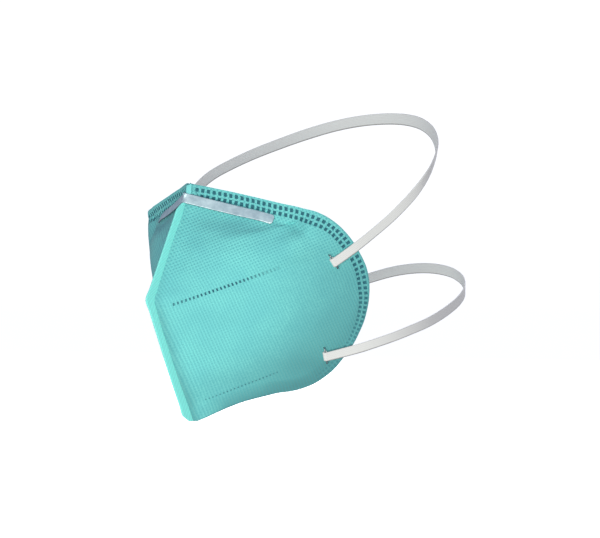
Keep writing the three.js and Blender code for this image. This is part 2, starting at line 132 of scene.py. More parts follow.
# Columns: length along the rim from the bridge, number of pits passed since the first one, distance of the
# two rows from the rim, and how clearly the pits show.
PITS = np.array([
    (0.0, -1.39, 2.7, 5.9, 1.0), (25.0, 6.0, 2.7, 5.9, 1.0), (50.0, 13.4, 3.2, 6.8, 1.0),
    (72.4, 20.0, 3.6, 7.05, 1.0), (87.0, 24.0, 3.1, 6.05, 1.0), (100.2, 28.0, 2.6, 5.9, 1.0),
    (114.0, 32.0, 2.2, 5.5, 1.0), (127.6, 36.0, 2.6, 6.05, 0.95), (134.1, 38.0, 2.3, 5.6, 0.95),
    (140.0, 40.0, 1.7, 4.9, 0.9), (145.5, 42.0, 1.5, 4.5, 0.85), (151.0, 44.0, 1.3, 4.1, 0.75),
    (161.0, 48.0, 1.2, 3.5, 0.6), (168.2, 51.0, 1.2, 3.3, 0.45), (190.0, 60.0, 1.3, 3.3, 0.3),
    (200.0, 64.0, 1.3, 3.3, 0.0), (229.0, 76.0, 1.3, 3.3, 0.0),
])
RIM_LINE_SHADOW = {"wide": 0.9, "strength": 0.45}  # painted shadow line along the cut edge
# Painted shade in a band beside the crease of the front seam: how far it reaches, and its strength on top
# and below.
CREASE_SHADE = {"wide": 3.0, "top": 0.15, "below": 0.4}
# Painted shade in a band along the edge under the chin, held between shares of the rim's length.
CHIN_SHADE = {"wide": 8.0, "strength": 0.6, "held": (0.68, 0.78, 0.93, 0.99)}
# Painted shade on the cloth towards the rim. Columns: share of the way from bridge to chin, strength of the
# shade.
PAINTED_SHADE_TOWARDS_RIM = np.array([
    (0.0, 0.2), (0.2, 0.08), (0.36, 0.16), (0.44, 0.38), (0.53, 0.54),
    (0.62, 0.7), (0.69, 0.82), (0.8, 0.5), (0.92, 0.25), (1.0, 0.2),
])
SHADE_REACH = (68.0, 8.0)  # distances from the rim where the painted shade begins and where it is full

# ---- Looks, in millimetres unless named otherwise ----
ROWS, COLUMNS, FINE_COLUMNS = 600, 132, 33  # cells of a panel's grid: along, across, and beside the rim
SPARE_COLUMNS = 6  # columns before the close ones that still know their distance from the rim
WELD_ZONE = 8.5  # width of the close columns beside the rim
MOST_ZONE = 0.6  # largest share of a section that they take
LEAST_SLANT = 0.3  # sine below which the zone isn't widened further
FAR_FROM_RIM = 60.0  # stands for any distance beyond the welded zone
SHARP_ANGLE = 48  # degrees between faces from which an edge stays sharp
# How many places are read along a panel's section, its inner face, the rim and the flange.
SECTION_STEPS, INNER_STEPS, RIM_STEPS, FLANGE_STEPS = 161, 401, 600, 321
SEARCH = {"u": 0.4, "v": 0.7, "step": 0.1, "shrink": 0.75, "least": 2e-5}  # for a place on a panel
FLANGE_GUIDE = 0.1  # v of the places towards which the folded flange lies
CLIP_DIMPLES = {"height": 0.015, "size": 7.0, "seed": 11}
RIM_VALLEY = {"at": 4.2, "wide": 2.4, "wobble": 3.0}  # between the rows of pits, which wobble a little
RIM_WAVES = {"held": (0.55, 0.7, 0.84, 0.92), "fade": 7.0}  # along the lower rim, in shares of its length
WAVES_TAPER = (0.125, 0.05)  # shares over which a panel's waves rise from the crease, and from both ends
# Relief of each panel's cloth: the rim's valley, its wobbling rows, its waves, and the waves all over.
WAVES = {
    "left": {"valley": 0.3, "rows": 0.05, "row_pitch": 9.0, "edge": 0.18, "edge_pitch": 15.0, "cloth": 0.16,
             "size": 16.0, "seed": 3},
    "right": {"valley": 0.35, "rows": 0.2, "row_pitch": 9.0, "edge": 0.0, "edge_pitch": 17.0, "cloth": 0.1,
              "size": 18.0, "seed": 8},
}
# Rows of weld marks across a panel. start and way are on the flat cut, way in degrees, and long runs along
# the row. Marks are clearest between two shares of the row; first and last are their strengths at its ends.
WELD_LINES = [
    {"start": (-15.6, 0.4), "way": 18.9, "pitch": 2.29, "count": 28, "long": 0.8, "wide": 1.4,
     "clear": (0.3, 0.55), "first": 0.8, "last": 0.25, "strength": 1.0},
    {"start": (7.9, -53.3), "way": 23.3, "pitch": 1.99, "count": 21, "long": 0.6, "wide": 0.6,
     "clear": (0.3, 0.7), "first": 0.7, "last": 0.7, "strength": 0.7},
]
MARK_SOFT = 0.15  # over which a mark's edge fades
# Embossed waves, their ways in degrees on the flat cut. The ribs run all over and lean a little more upright
# above a height; the cross waves cut them into dots on top and into faint dashes below. depth_below and
# depth_top tell how strong the pattern is, with the change between two heights that tilt with the way back.
EMBOSS = {"way": 28.1, "pitch": 1.66, "lean": 0.11, "lean_from": 8.0, "cross_way": -68.6,
          "cross_pitch": 1.58, "cross_below": 0.45, "depth_below": 0.9, "depth_top": 1.35}
EMBOSS_CHANGE = {"heights": (10.0, 26.0), "tilt": -0.12}
GROOVE_TINT, PIT_TINT, LINE_TINT = 0.5, 0.95, 0.95  # how far the grooves and marks take their own colours
FLANGE_STRIPES = {"way": 128, "pitch": 1.6}
STITCHES = ({"way": 20, "pitch": 0.9}, {"way": 90, "pitch": 1.0})  # the slanting ones and the ribs
ROLLED = (0.15, 3.0, 1.0)  # how the rolled lines are drawn out along the clip
GREY_EDGE = {"between": (2.2, 3.0), "tint": 0.3}  # distances from an elastic's middle over which it greys
SHADED_SIDE_OF_STRIP = (0.38, 0.26)  # distances from the clip's middle layer between which the painted shade on its side begins
LOWER_EDGE_SHADOW = (0.8, 0.3)  # distances from an elastic's lower edge over which a painted shadow line darkens it
# Noise: waves in a millimetre, or in a metre for the drawn wire, detail and roughness.
NOISE = {
    "fibres": (1.6, 4.0, 0.65), "clouds": (0.05, 2.0, 0.5), "pressed fibres": (1.8, 4.0, 0.6),
    "patches": (0.22, 3.0, 0.6), "rolled lines": (1.6, 3.0, 0.6), "threads": (2.2, 3.0, 0.6),
    "drawn": (900.0, 2.0, 0.5),
}
# Bumps: strength and height.
BUMPS = {"cloth": (0.8, 0.22), "flange": (0.3, 0.08), "clip": (0.2, 0.12), "elastic": (0.4, 0.1)}
# What each pattern is mixed from, and the values between which it turns from one colour to the other.
CLOTH_MIX = {"fibres": 0.3, "grooves": -0.7, "marks": 1.6, "clouds": (0.3, 0.7), "grain": (0.25, 0.75)}
SEAM_MIX = {"fibres": 0.6, "stripes": 0.3, "colours": (0.0, 0.9)}
CLIP_MIX = {"lines": 0.35, "patches": 0.65, "colours": (0.3, 0.7)}
ELASTIC_MIX = {"threads": 0.4, "stitches": -0.5, "colours": (-0.35, 0.3)}
CLIP_ROUGH, STEEL_ROUGH = (0.2, 0.38), (0.3, 0.2)  # spread of the roughness and its least value
# The last colour is the painted shade on the cloth, towards the rim, along the edges and beside the crease.
TEAL = {
    "pale": (0.24, 0.74, 0.725, 1), "plain": (0.20, 0.64, 0.665, 1), "fibre": (0.14, 0.52, 0.56, 1),
    "groove": (0.06, 0.32, 0.385, 1), "pressed": (0.02, 0.11, 0.16, 1), "painted_shade": (0.08, 0.24, 0.26, 1),
}
SEAM_TEAL = {"dark": (0.21, 0.72, 0.70, 1), "pale": (0.27, 0.88, 0.84, 1)}
# side is painted shade on the clip's narrow sides.
ALUMINIUM = {"dark": (0.53, 0.68, 0.77, 1), "pale": (0.76, 0.92, 1.0, 1), "side": (0.12, 0.18, 0.23, 1)}
# side is the colour of the painted shadow line along the elastic's lower edge.
ELASTIC = {"between": (0.45, 0.445, 0.465, 1), "rib": (0.55, 0.54, 0.56, 1), "side": (0.1, 0.1, 0.11, 1),
           # glow is painted light: the elastic glows a little though it is no lamp, which lifts its shaded
           # parts.
           "glow": (0.205, 0.2, 0.19, 1)}
STEEL = {"dark": (0.2, 0.22, 0.24, 1), "pale": (0.42, 0.45, 0.48, 1)}

# ---- Studio, in metres ----
AIM = Vector((0.03, 0.03, 0.0))
CAMERA = {"place": (0.9070, -0.8208, 0.0513), "azimuth": 45.0, "elevation": 1.5, "lens": 131.76,
          "sensor": 36.0}
SKY = {"below": (0.24, 0.25, 0.29, 1), "above": (0.21, 0.23, 0.32, 1), "between": (-0.8, 0.8)}
LAMPS = {
    "key": {"place": (0.90, -1.18, -0.22), "size": 0.9, "power": 24.9, "colour": (0.96, 1.0, 0.86)},
    "back": {"place": (-0.7, 1.3, 0.7), "size": 1.2, "power": 22.0, "colour": (1.0, 1.0, 1.0)},
}
# In millimetres, apart from its glow and the points of its bend and round it.
FLOOR = {"below": 90.0, "inner": 0.01, "radius": 3200.0, "bend": 900.0, "wall": 2600.0, "glow": 0.82,
         "bend_points": 12, "around": 96}


# ---- Lines and tables ----
def through(keys, values, t):
    """A table read between its rows: a cubic from row to row, whose slope at a row is that of the straight
    line between the rows on both sides of it."""
    slope = np.empty(len(values))
    slope[1:-1] = (values[2:] - values[:-2]) / (keys[2:] - keys[:-2])
    slope[[0, -1]] = (values[[1, -1]] - values[[0, -2]]) / (keys[[1, -1]] - keys[[0, -2]])
    i = np.clip(np.searchsorted(keys, t, side="right") - 1, 0, len(keys) - 2)
    span = keys[i + 1] - keys[i]
    s = np.clip((t - keys[i]) / span, 0, 1)
    end = s * s * (3 - 2 * s)
    bend = s * (1 - s) ** 2 * slope[i] + s * s * (s - 1) * slope[i + 1]
    return values[i] * (1 - end) + values[i + 1] * end + span * bend


def run_along(points):
    """The length along a line of points, at each of them."""
    return np.concatenate([[0], np.cumsum(np.linalg.norm(np.diff(points, axis=0), axis=1))])


def smooth_line(rows, steps=40):
    """The centripetal Catmull-Rom curve through rows of points, with steps points from row to row: the
    points, their length along the curve, and their row numbers. Each knot's step is the root of the
    distance, and a virtual row mirrors the second one at each end."""
    p = np.vstack([2 * rows[0] - rows[1], rows, 2 * rows[-1] - rows[-2]])
    knot = np.sqrt(np.linalg.norm(np.diff(p, axis=0), axis=1))[:, None]
    before, after = knot[:-1], knot[1:]
    way = (p[1:-1] - p[:-2]) / before - (p[2:] - p[:-2]) / (before + after) + (p[2:] - p[1:-1]) / after
    s = np.linspace(0, 1, steps, endpoint=False)[None, :, None]
    hold = knot[1:-1, None]
    curve = (2 * s**3 - 3 * s**2 + 1) * rows[:-1, None] + (s**3 - 2 * s**2 + s) * way[:-1, None] * hold
    curve = curve + (3 * s**2 - 2 * s**3) * rows[1:, None] + (s**3 - s**2) * way[1:, None] * hold
    curve = np.vstack([curve.reshape(-1, 3), rows[-1:]])
    return curve, run_along(curve), np.linspace(0, len(rows) - 1, len(curve))


def between_rows(at, keys, rows):
    """Rows of three numbers read at places between their keys, in straight lines."""
    return np.stack([np.interp(at, keys, rows[:, k]) for k in range(3)], axis=-1)


def along(line, share):
    """Points of a line at shares of its whole length."""
    curve, length, _ = line
    return between_rows(np.asarray(share) * length[-1], length, curve)


def unit(v):
    return v / np.linalg.norm(v, axis=-1, keepdims=True)


def held_between(x, stops):
    """0 up to the first of four stops, 1 from the second to the third, and 0 again from the last."""
    return np.interp(x, stops, [0, 1, 1, 0])


SEAM_LINE = smooth_line(np.column_stack([np.zeros(len(SEAM)), SEAM[:, :2]]))
RIM_LINE = smooth_line(RIM)
RIM_LENGTH = RIM_LINE[1][-1]


def seam_column(share, number):
    """A column of the seam's table at shares of the crease's length."""
    _, length, row = SEAM_LINE
    at = np.interp(np.asarray(share) * length[-1], length, row)
    return through(np.arange(len(SEAM), dtype=float), SEAM[:, number], at)


# ---- The face of a panel: u runs from bridge to chin, v from seam to rim ----
def smooth_face(u, v):
    """The face without its dents. Each section is a cubic Bezier curve from the seam, beside the middle
    plane, to the rim. Its inner points lie on the table's headings, seen from above, and on the
    straight line between its ends in height."""
    u, v = np.broadcast_arrays(np.asarray(u, float), np.asarray(v, float))
    leave, arrive, near, far = (through(FALL[:, 0], FALL[:, k], u)[..., None] for k in (1, 2, 3, 4))
    start, end = along(SEAM_LINE, u), along(RIM_LINE, u)
    start[..., 0] = PANEL_START
    chord = np.linalg.norm((end - start)[..., :2], axis=-1, keepdims=True)
    rise = (end - start)[..., 2:]

    def held(degrees, reach, share):
        turn = np.radians(degrees)
        return np.concatenate([np.sin(turn) * reach, np.cos(turn) * reach, rise * share], axis=-1)

    leaving = start + held(leave, chord * near, near)
    arriving = end - held(arrive, chord * far, far)
    s = v[..., None]
    return (1 - s) ** 3 * start + 3 * s * (1 - s) ** 2 * leaving + 3 * s**2 * (1 - s) * arriving + s**3 * end


def face_normal(u, v, step=0.004):
    """The unit vector out of the smooth face: the way towards the chin crossed with the way to the rim."""
    down = smooth_face(np.minimum(u + step, 1), v) - smooth_face(np.maximum(u - step, 0), v)
    back = smooth_face(u, np.minimum(v + step, 1)) - smooth_face(u, np.maximum(v - step, 0))
    return unit(np.cross(down, back))


def dent_depth(p, dents):
    """Depth of the dents at points, from their y and z alone. Along a dent the depth rises as
    1.5 r - 0.5 r^3 to the deepest share and falls back on a smooth step. Across it falls as exp(-w^2)."""
    depth = np.zeros(p.shape[:-1])
    for from_y, from_z, to_y, to_z, peak, deep, flat, above, below in dents:
        run = np.array([to_y - from_y, to_z - from_z])
        length = np.hypot(*run)
        y, z = p[..., 1] - from_y, p[..., 2] - from_z
        share = np.clip((y * run[0] + z * run[1]) / length**2, 0, 1)
        off = (y * run[1] - z * run[0]) / length
        rise, fall = share / peak, (1 - share) / (1 - peak)
        profile = np.where(share < peak, 1.5 * rise - 0.5 * rise**3, fall * fall * (3 - 2 * fall))
        slope = np.maximum(np.abs(off) - flat, 0) / np.where(off > 0, below, above)
        depth += deep * profile * np.exp(-(slope**2))
    return depth


def outer_face(u, v, dents=DENTS):
    """The smooth face with its dents pressed in."""
    p = smooth_face(u, v)
    return p - face_normal(u, v) * dent_depth(p, dents)[..., None]


def inner_face(u, v, dents=DENTS):
    """The face inside the cloth, moved in by its thickness."""
    return outer_face(u, v, dents) - face_normal(u, v) * CLOTH


def place_on_face(targets):
    """u and v where the outer face passes each target (y, z), seen from the side. The best of nine places is
    kept while the step between them shrinks, for all targets at once."""
    u, v = np.full(len(targets), SEARCH["u"]), np.full(len(targets), SEARCH["v"])
    step = SEARCH["step"]
    while step > SEARCH["least"]:
        du, dv = (g.ravel() for g in np.meshgrid([-step, 0, step], [-step, 0, step]))
        near_u, near_v = u[:, None] + du, v[:, None] + dv
        p = outer_face(np.clip(near_u, 0, 1), np.clip(near_v, 0, 1))
        miss = np.hypot(p[..., 1] - targets[:, None, 0], p[..., 2] - targets[:, None, 1])
        best = (np.arange(len(targets)), miss.argmin(axis=1))
        u, v = near_u[best], near_v[best]
        step *= SEARCH["shrink"]
    return u, v


# ---- Meshes ----
def make_piece(name, node, slot, points, faces, material, **attributes):
    """A named piece from points in millimetres and closed faces. Faces that point inwards, found by the sign
    of the enclosed volume, are turned round. Each attribute is a vector per point."""
    mesh = bpy.data.meshes.new(name)
    mesh.from_pydata(points * MM, [], faces)
    mesh.calc_loop_triangles()
    corners = np.empty(3 * len(mesh.loop_triangles), np.int32)
    mesh.loop_triangles.foreach_get("vertices", corners)
    a, b, c = points[corners.reshape(-1, 3)].transpose(1, 0, 2)
    if np.einsum("ij,ij->", a, np.cross(b, c)) < 0:
        mesh.flip_normals()
    for key, values in attributes.items():
        layer = mesh.attributes.new(key, "FLOAT_VECTOR", "POINT")
        layer.data.foreach_set("vector", np.ascontiguousarray(values, np.float32).ravel())
    mesh.shade_smooth()
    mesh.set_sharp_from_angle(angle=np.radians(SHARP_ANGLE))
    mesh.materials.append(material)
    piece = bpy.data.objects.new(name, mesh)
    bpy.context.scene.collection.objects.link(piece)
    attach(piece, "root")
    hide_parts(node)
    return piece


def every_cell(rows, columns):
    """The row number and the column number of every cell of a grid."""
    return (g.ravel() for g in np.meshgrid(np.arange(rows), np.arange(columns), indexing="ij"))


def grid_quads(rows, columns, first=0):
    """Quads of a grid of rows x columns points, numbered from first."""
    i, j = every_cell(rows - 1, columns - 1)
    at = first + i * columns + j
    return np.stack([at, at + columns, at + columns + 1, at + 1], axis=1)


def edge_band(fine, coarse):
    """Triangles between a fine edge and one with a third of its steps, four for each coarse step."""
    a, b = coarse[:-1], coarse[1:]
    f0, f1, f2, f3 = fine[:-1:3], fine[1::3], fine[2::3], fine[3::3]
    triangles = [(a, f1, f0), (a, f2, f1), (a, b, f2), (b, f3, f2)]
    return np.concatenate([np.stack(t, axis=1) for t in triangles])


def tube_faces(stations, around):
    """Quads round a tube of stations x around points, and a flat face on each end."""
    i, k = every_cell(stations - 1, around)
    a, b = i * around + k, i * around + (k + 1) % around
    quads = np.stack([a, a + around, b + around, b], axis=1).tolist()
    end = (stations - 1) * around
    return quads + [list(range(around)), list(range(end + around - 1, end - 1, -1))]


def strip_outline(width, thick, flat_steps=12, round_steps=6, ribs=0, rib_share=0.0):
    """A flat strip cut across, as (across, out) round each station: two level faces between half-round
    edges. Ribs along the strip lower the level faces by rib_share * (1 - cos) / 2 between them."""
    turn = np.radians(np.linspace(-90, 90, round_steps + 1))
    level = np.linspace(1, -1, flat_steps + 1)[1:-1]
    hollow = 1 - rib_share * (1 - np.cos(2 * np.pi * ribs * (level + 1) / 2)) / 2
    ones, zeros = np.ones_like(turn), np.zeros_like(level)
    flat = np.concatenate([ones, level, -ones, -level])
    bulge = np.concatenate([np.cos(turn), zeros, -np.cos(turn), zeros])
    out = np.concatenate([np.sin(turn), hollow, np.sin(turn[::-1]), -hollow])
    half = width[:, None] / 2
    radius = np.minimum(thick / 2, half)
    return np.stack([(half - radius) * flat + radius * bulge, radius * out], axis=-1)


def sweep_strip(middle, across, out, outline):
    """The outline carried along the path: middle + across * a + out * o. With it, for the pattern, each
    point's place on the strip: along it, across it and out of its middle layer."""
    points = middle[:, None] + across[:, None] * outline[..., :1] + out[:, None] * outline[..., 1:]
    place = np.zeros(points.shape)
    place[..., 0] = run_along(middle)[:, None]
    place[..., 1] = outline[..., 0]
    place[..., 2] = outline[..., 1]
    return points.reshape(-1, 3), place.reshape(-1, 3)


def strip_path(middles, acrosses, widths, steps):
    """Middle, across, out and width along a smooth line through controls. The across vector is squared to
    the line, and out is across x the way along it."""
    line, _, number = smooth_line(middles, steps)
    rows = np.arange(len(middles), dtype=float)
    way = unit(np.gradient(line, axis=0))
    across = np.stack([through(rows, acrosses[:, k], number) for k in range(3)], axis=1)
    across = unit(across - way * np.sum(across * way, axis=1, keepdims=True))
    return line, across, np.cross(across, way), through(rows, widths, number)


def both_sides(middles, acrosses, widths):
    """The left half's controls, which end on the middle plane, and their mirror images."""
    mirror = np.array([-1, 1, 1])
    return (
        np.vstack([middles, middles[-2::-1] * mirror]),
        np.vstack([acrosses, acrosses[-2::-1] * mirror]),
        np.concatenate([widths, widths[-2::-1]]),
    )


def ripples(a, b, size, seed, waves=7):
    """Soft random waves over (a, b): sines in random ways, about size apart, summed and divided by the root
    of their number."""
    rng = np.random.default_rng(seed)
    turn, phase = rng.uniform(0, np.pi, waves), rng.uniform(0, 2 * np.pi, waves)
    pitch = size * rng.uniform(0.7, 1.5, waves)
    total = sum(
        np.sin(2 * np.pi * (a * np.cos(t) + b * np.sin(t)) / p + f) for t, p, f in zip(turn, pitch, phase)
    )
    return total / np.sqrt(waves)


# ---- Panels ----
def panel_columns(u):
    """v of each column of a panel's grid, for each row. The last columns lie close together over the welded
    zone beside the rim, wider where the section meets the rim at a slant; the others share the rest."""
    guide = np.linspace(0, 1, SECTION_STEPS)
    section = smooth_face(u[:, None], guide[None])
    length = np.linalg.norm(np.diff(section, axis=1), axis=2).cumsum(axis=1)
    length = np.concatenate([np.zeros((len(u), 1)), length], axis=1)
    total = length[:, -1:]
    rim_way = unit(np.gradient(along(RIM_LINE, u), axis=0))
    last_way = unit(section[:, -1] - section[:, -9])  # over the last twentieth of the section
    slant = np.linalg.norm(np.cross(rim_way, last_way), axis=1)[:, None]
    fine = np.minimum(WELD_ZONE / np.maximum(slant, LEAST_SLANT), total * MOST_ZONE)
    plain = np.linspace(0, 1, COLUMNS - FINE_COLUMNS, endpoint=False)
    close = np.linspace(0, 1, FINE_COLUMNS + 1)
    at = np.concatenate([plain * (total - fine), total - fine + close * fine], axis=1)
    apart = 1000.0 * np.arange(len(u))[:, None]  # sets the rows apart, so that one reading serves them all
    read = np.interp((at + apart).ravel(), (length + apart).ravel(), np.tile(guide, len(u)))
    return read.reshape(at.shape)


def rim_places(points):
    """For each point, the length along the rim of the nearest place on it, and the distance to it."""
    share = np.linspace(0, 1, RIM_STEPS)
    knots = along(RIM_LINE, share)
    way = unit(np.gradient(knots, axis=0))
    flat = points.reshape(-1, 3)
    square = (flat**2).sum(1)[:, None] + (knots**2).sum(1) - 2 * flat @ knots.T
    near = square.argmin(axis=1)
    gap = flat - knots[near]
    slide = np.sum(gap * way[near], axis=1)
    away = np.linalg.norm(gap - way[near] * slide[:, None], axis=1)
    return (share[near] * RIM_LENGTH + slide).reshape(points.shape[:2]), away.reshape(points.shape[:2])


def soft_box(x, half, soft):
    """1 within half of 0 and 0 beyond half + soft, on a smooth step."""
    s = np.clip((half + soft - np.abs(x)) / soft, 0, 1)
    return s * s * (3 - 2 * s)


def pit_places(s, d):
    """The place of points in the pattern of weld pits, from their length along the rim and their distance
    from it: pit number along the rows, 0 on the first row and 1 on the second, and the pits' strength."""
    number, near, far, strength = (through(PITS[:, 0], PITS[:, k], s) for k in (1, 2, 3, 4))
    return np.stack([number, (d - near) / (far - near), np.clip(strength, 0, 1) * (number > -0.5)], axis=-1)


def pit_shape(place):
    """The pits' strength in their floors, and 0 outside."""
    number, row, strength = np.moveaxis(place, -1, 0)
    column = soft_box((number + 0.5) % 1 - 0.5, PIT["along"], PIT["soft"])
    return column * strength * sum(soft_box(row - at, PIT["across"], PIT["soft"]) for at in (0, 1))


def inner_starts(u):
    """The least v at which the inner face has come clear of the other panel, for each row."""
    v = np.linspace(0, 1, INNER_STEPS)
    clear = inner_face(u[:, None], v[None])[..., 0] >= GAP / 2
    return v[clear.argmax(axis=1)]


def painted_cloth_shade(u, run, s, d):
    """The strength of the painted shade on the cloth: the table's strength, rising towards the rim on a
    smooth step, and painted shadow bands along the cut edge, along the edge under the chin and beside the
    crease.
    run is the length from the crease, s the length along the rim and d the distance from the rim."""
    far, full = SHADE_REACH
    near = np.clip((far - run[:, -1:] + run) / (far - full), 0, 1)
    painted_shade = through(PAINTED_SHADE_TOWARDS_RIM[:, 0], PAINTED_SHADE_TOWARDS_RIM[:, 1], u)[:, None] * near * near * (3 - 2 * near)
    painted_shade += RIM_LINE_SHADOW["strength"] * np.clip(1 - d / RIM_LINE_SHADOW["wide"], 0, 1)
    chin = CHIN_SHADE["strength"] * held_between(s / RIM_LENGTH, CHIN_SHADE["held"])
    painted_shade += chin * np.clip(1 - d / CHIN_SHADE["wide"], 0, 1)
    crease = np.interp(u, LOWER_PART, [CREASE_SHADE["top"], CREASE_SHADE["below"]])[:, None]
    return painted_shade + crease * np.exp(-((run / CREASE_SHADE["wide"]) ** 2))


def cloth_waves(waves, u, v, run, s, d, cut):
    """How far the cloth is lifted: down by exp(-w^2) in a valley between the rows of pits and in one beside
    the lower crease, up and down by a sine along the lower rim, and by random waves all over, which fade out
    at the crease, the bridge and the chin."""
    soft = -waves["valley"] * np.exp(-(((d - RIM_VALLEY["at"]) / RIM_VALLEY["wide"]) ** 2))
    lower = VALLEY["depth"] * held_between(u, VALLEY["held"])[:, None]
    soft -= lower * np.exp(-(((run - VALLEY["at"]) / VALLEY["wide"]) ** 2))
    edge = waves["edge"] * held_between(s / RIM_LENGTH, RIM_WAVES["held"])
    soft += edge * np.sin(2 * np.pi * s / waves["edge_pitch"]) * np.exp(-d / RIM_WAVES["fade"])
    taper = np.clip(v / WAVES_TAPER[0], 0, 1) * np.clip(np.minimum(u, 1 - u) / WAVES_TAPER[1], 0, 1)[:, None]
    return soft + waves["cloth"] * ripples(cut[..., 0], cut[..., 1], waves["size"], waves["seed"]) * taper


def shell_faces(rows, columns, rows3, columns3):
    """Faces of a closed shell: an outer grid, an inner one with a third of its steps, turned round, and the
    bands between their four edges."""
    o = np.arange(rows * columns).reshape(rows, columns)
    n = rows * columns + np.arange(rows3 * columns3).reshape(rows3, columns3)
    quads = [grid_quads(rows, columns), grid_quads(rows3, columns3, rows * columns)[:, ::-1]]
    bands = [
        edge_band(o[:, 0], n[:, 0]),
        edge_band(o[::-1, -1], n[::-1, -1]),
        edge_band(o[0, ::-1], n[0, ::-1]),
        edge_band(o[-1], n[-1]),
    ]
    return np.concatenate(quads).tolist() + np.concatenate(bands).tolist()


def panel(side, material):
    """One panel: the outer grid with its relief, a coarser inner grid a cloth's thickness inside it, and the
    four edges between them. The right panel is the left one mirrored, with waves of its own. The cut
    attribute holds a point's place on the flat cut and the strength of the painted shade, the rim attribute
    its pit place."""
    sign, dents = (1, DENTS) if side == "left" else (-1, DENTS[:-1])
    waves = WAVES[side]
    u = np.linspace(0, 1, ROWS + 1)
    v = panel_columns(u)
    outer, normal = outer_face(u[:, None], v, dents), face_normal(u[:, None], v)
    run = np.hypot(np.diff(outer[..., 0], axis=1), np.diff(outer[..., 1], axis=1)).cumsum(axis=1)
    run = np.concatenate([np.zeros((len(u), 1)), run], axis=1)
    s, d = np.full((2, *outer.shape[:2]), FAR_FROM_RIM)
    beside = slice(COLUMNS - FINE_COLUMNS - SPARE_COLUMNS, COLUMNS + 1)
    s[:, beside], d[:, beside] = rim_places(outer[:, beside])
    # The third value of cut is the strength of the painted shade.
    cut = np.stack([outer[:, :1, 1] + run, outer[..., 2], painted_cloth_shade(u, run, s, d)], axis=-1)
    wobble = waves["rows"] * np.sin(2 * np.pi * s / waves["row_pitch"])
    rim = pit_places(s, d + wobble * np.exp(-(((d - RIM_VALLEY["at"]) / RIM_VALLEY["wobble"]) ** 2)))
    soft = cloth_waves(waves, u, v, run, s, d, cut)
    outer = outer + normal * (soft - PIT["depth"] * pit_shape(rim))[..., None]
    ahead, reach = (np.interp(u, LOWER_PART, FILLET[key])[:, None] for key in ("ahead", "reach"))
    standing = 1 - np.clip(seam_column(u, 3), 0, 1)[:, None]
    outer[..., 1] -= ahead * np.exp(-run / reach) * standing

    u3, v3, soft3 = u[::3], v[::3, ::3], soft[::3, ::3]
    start = inner_starts(u3)[:, None]
    v_in = start + (1 - start) * v3
    inner = inner_face(u3[:, None], v_in, dents) + face_normal(u3[:, None], v_in) * soft3[..., None]

    points = np.vstack([outer.reshape(-1, 3), inner.reshape(-1, 3)]) * np.array([sign, 1, 1])
    both = [np.vstack([a.reshape(-1, 3), a[::3, ::3].reshape(-1, 3)]) for a in (cut, rim)]
    faces = shell_faces(*outer.shape[:2], *inner.shape[:2])
    name, node = f"panel_cloth_{side}", f"{side}_panel"
    piece = make_piece(name, node, "filter_cloth", points, faces, material, cut=both[0], rim=both[1])
    return piece


# ---- The flange down the front ----
def flange(material):
    """The flange's path follows the crease: its strip stands nearly straight ahead, and is laid over on the
    left panel where the table folds it."""
    t = np.linspace(FLANGE_TOP, 1, FLANGE_STEPS)
    width, fold = seam_column(t, 2), np.clip(seam_column(t, 3), 0, 1)[:, None]
    crease, normal = outer_face(t, 0), face_normal(t, 0)
    on_face = unit(outer_face(t, FLANGE_GUIDE) - crease)
    leave = through(FALL[:, 0], FALL[:, 1], t)[:, None]
    turned = np.radians(180 + FLANGE_LEAN * (1 - fold) - fold * (180 - leave))
    across = unit(np.concatenate([np.sin(turned), np.cos(turned), on_face[:, 2:] * fold], axis=1))
    step = 0.01
    down = along(SEAM_LINE, np.minimum(t + step, 1)) - along(SEAM_LINE, np.maximum(t - step, 0))
    out = unit(np.cross(across, down))
    laid = crease + normal * (GAP + FLANGE_LAID / 2) - on_face * (FLANGE / 2 + GAP)
    root = along(SEAM_LINE, t) * (1 - fold) + laid * fold
    outline = strip_outline(width, FLANGE + (FLANGE_LAID - FLANGE) * fold, flat_steps=14)
    points, place = sweep_strip(root + across * width[:, None] / 2, across, out, outline)
    laid = np.repeat(fold, outline.shape[1], axis=0) * np.array([1, 0, 0])
    make_piece("seam_flange", "front_seam", "welded_seam", points, tube_faces(*outline.shape[:2]), material,
               strip=place, laid=laid)


